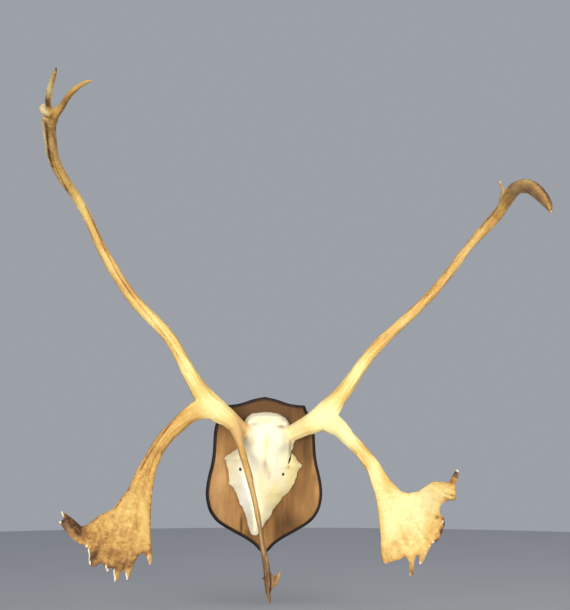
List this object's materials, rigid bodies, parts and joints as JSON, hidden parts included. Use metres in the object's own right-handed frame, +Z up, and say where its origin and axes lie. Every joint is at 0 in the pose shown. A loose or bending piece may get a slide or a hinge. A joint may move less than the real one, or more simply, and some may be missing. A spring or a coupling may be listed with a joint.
{
  "type": "caribou skull with antlers",
  "caption": "Sawn caribou skull cap with long palmated antlers, mounted on an upright wooden shield plaque for the wall.",
  "frame": {"origin": "middle of the plaque's flat back, on the wall", "axes": "+Z up the wall, +Y into the wall, so the skull faces -Y, +X to the viewer's right"},
  "size_m": [0.9959, 0.6027, 0.9937],
  "materials": {
    "walnut": "satin varnish, routed edge stained near black",
    "bone": "dry bleached bone, matte",
    "antler": "dry antler, matte with worn pale tips"
  },
  "bodies": {
    "root": {"plaque": "walnut", "skull": "bone", "left_beam": "antler", "left_brow_tine": "antler", "left_bez_palm": "antler", "left_crown": "antler", "right_beam": "antler", "right_bez_palm": "antler", "right_crown": "antler"}
  },
  "joints": []
}
